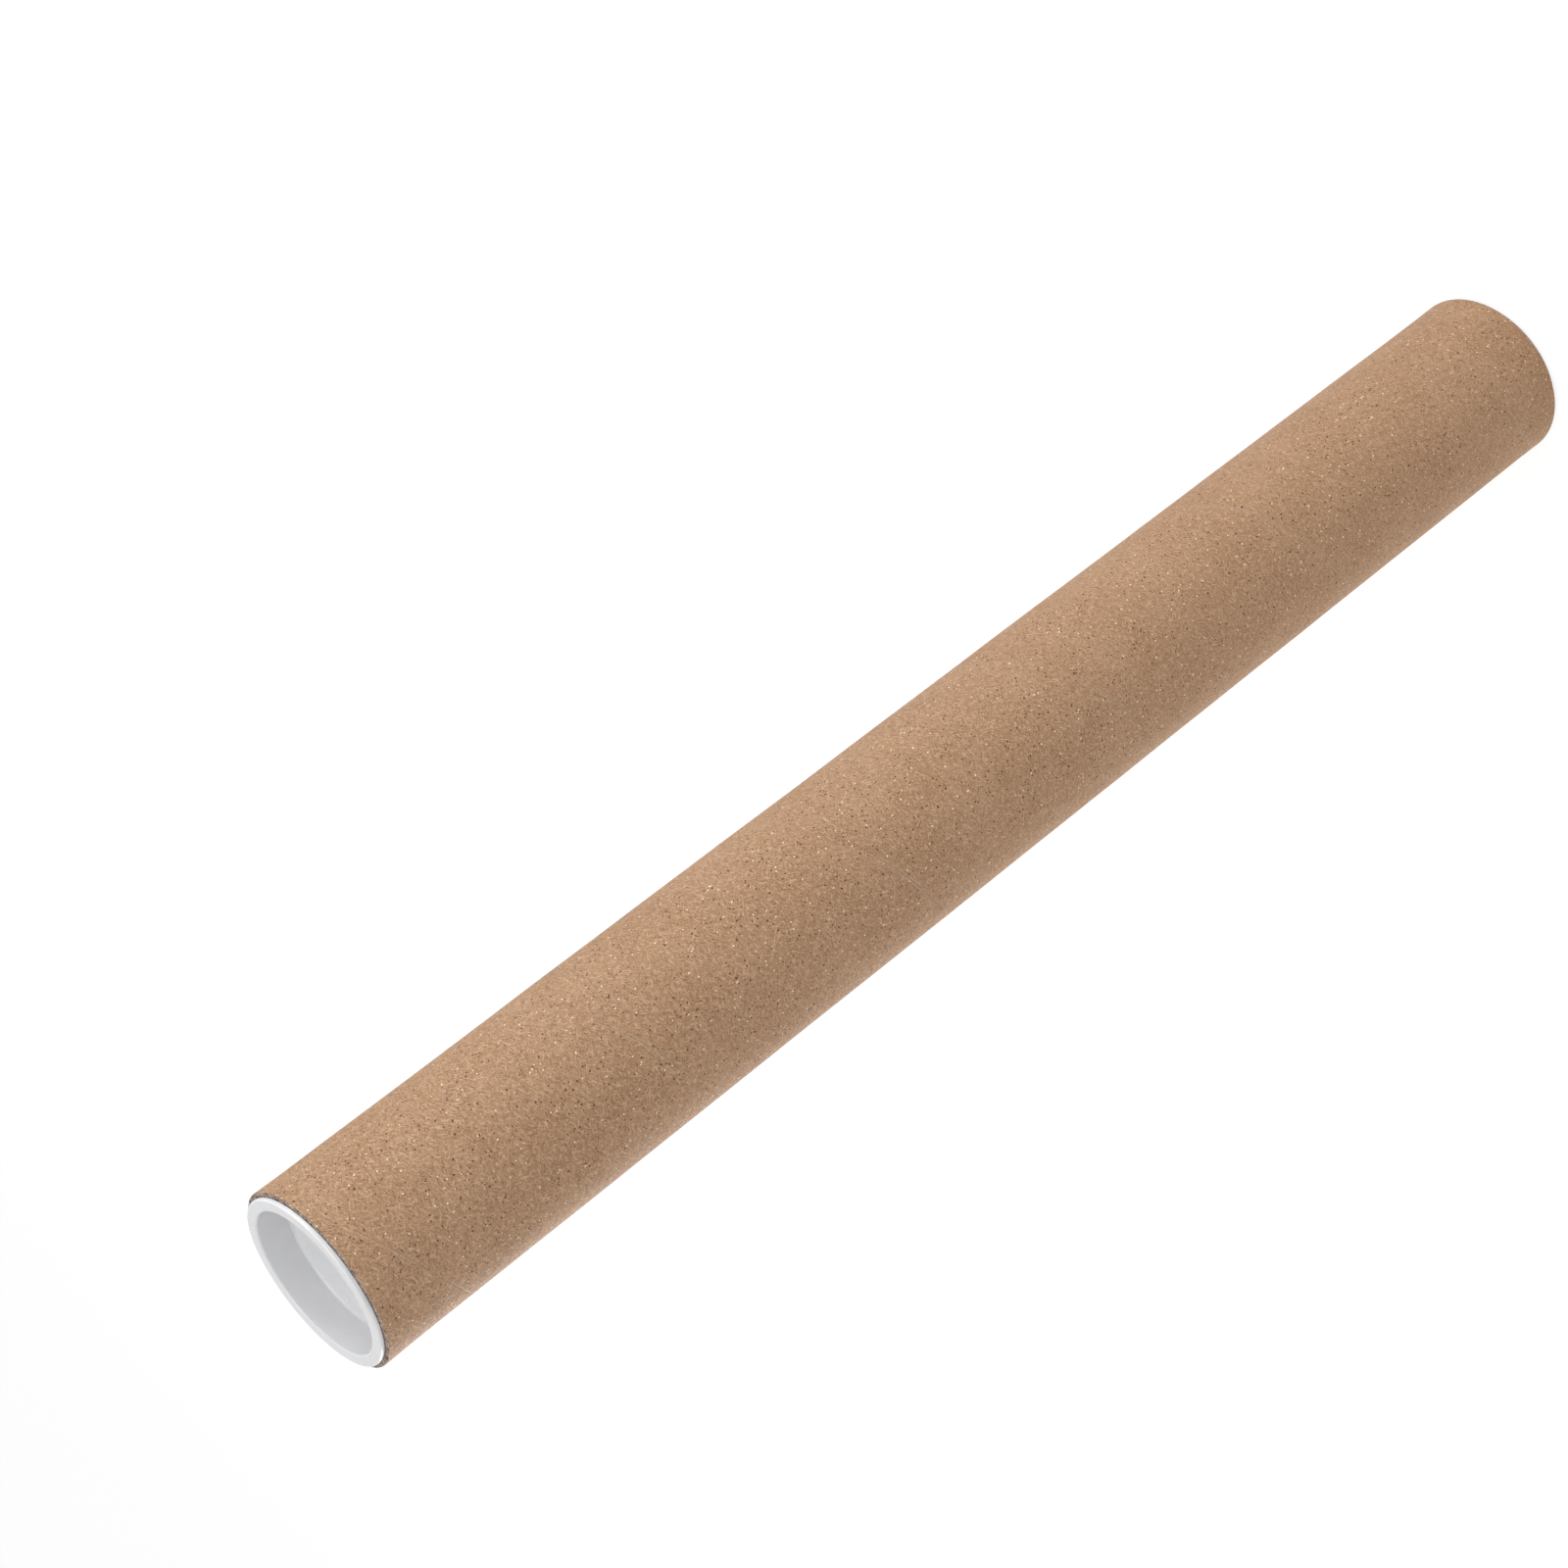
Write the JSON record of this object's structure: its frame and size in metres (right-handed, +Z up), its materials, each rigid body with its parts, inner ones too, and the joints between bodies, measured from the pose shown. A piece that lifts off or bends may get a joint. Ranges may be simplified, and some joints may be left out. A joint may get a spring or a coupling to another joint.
{
  "type": "cardboard mailing tube",
  "caption": "Round spiral-wound kraft mailing tube, stood on end, with a white push-in plastic cap closing each end.",
  "frame": {"origin": "middle of the bottom cap's ring, at the level of the surface that the tube stands on", "axes": "+Z up along the tube's axis, towards the top cap; +X and +Y across the tube"},
  "size_m": [0.054, 0.054, 0.478],
  "materials": {
    "kraft_board": "matt brown kraft paper, spiral wound, with fine fibre speckle",
    "cap_plastic": "semi-gloss white moulded polyethylene"
  },
  "bodies": {
    "bottom_cap": {"bottom_cap": "cap_plastic"},
    "tube": {"tube": "kraft_board"},
    "top_cap": {"top_cap": "cap_plastic"}
  },
  "joints": [
    {"name": "top_cap_pull", "type": "slide", "parent": "tube", "child": "top_cap", "axis": [0, 0, 1], "range_m": [0, 0.08]},
    {"name": "bottom_cap_pull", "type": "slide", "parent": "bottom_cap", "child": "tube", "axis": [0, 0, 1], "range_m": [0, 0.08]}
  ]
}
